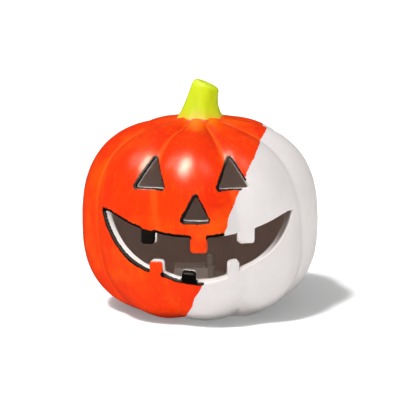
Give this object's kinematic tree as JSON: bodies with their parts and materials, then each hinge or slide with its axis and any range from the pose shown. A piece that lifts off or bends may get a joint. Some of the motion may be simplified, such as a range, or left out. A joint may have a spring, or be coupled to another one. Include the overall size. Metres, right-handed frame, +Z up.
{
  "type": "ceramic pumpkin lantern",
  "caption": "Hollow ceramic pumpkin with a cut-through jack-o'-lantern face, painted half orange and half bare white, over a plug-in battery light.",
  "frame": {"origin": "middle of the base, on the table", "axes": "+Z up, the face looks towards -Y"},
  "size_m": [0.1396, 0.14, 0.137],
  "materials": {
    "painted_ceramic": "satin",
    "stem_paint": "satin",
    "light_plastic": "satin",
    "holder_plastic": "gloss",
    "gasket_rubber": "matte",
    "lamp_epoxy": "gloss",
    "tinned_wire": "satin",
    "board_green": "satin",
    "cell_steel": "satin",
    "contact_metal": "satin",
    "switch_plastic": "satin",
    "screw_steel": "satin"
  },
  "bodies": {
    "light_unit": {"light_base": "light_plastic", "gasket_ring": "gasket_rubber", "light_cover": "light_plastic", "led_holder": "holder_plastic", "led_lamp": "lamp_epoxy", "led_leads": "tinned_wire", "circuit_board": "board_green", "button_cell_1": "cell_steel", "button_cell_2": "cell_steel", "button_cell_3": "cell_steel", "contact_plate": "contact_metal", "contact_spring": "contact_metal", "switch_body": "switch_plastic", "cover_screws": "screw_steel"},
    "pumpkin": {"pumpkin_shell": "painted_ceramic", "stem": "stem_paint"},
    "knob": {"switch_knob": "switch_plastic"},
    "door": {"battery_door": "light_plastic"},
    "screw": {"door_screw": "screw_steel"}
  },
  "joints": [
    {"name": "pumpkin_lift", "type": "slide", "parent": "light_unit", "child": "pumpkin", "axis": [0, 0, 1], "range_m": [0, 0.042]},
    {"name": "switch_slide", "type": "slide", "parent": "light_unit", "child": "knob", "axis": [1, 0, 0], "range_m": [0, 0.002]},
    {"name": "door_drop", "type": "slide", "parent": "light_unit", "child": "door", "axis": [0, 0, -1], "range_m": [0, 0.012]},
    {"name": "screw_turn", "type": "hinge", "parent": "door", "child": "screw", "pos_m": [0.0133, 0, 0], "axis": [0, 0, 1], "continuous": true}
  ]
}
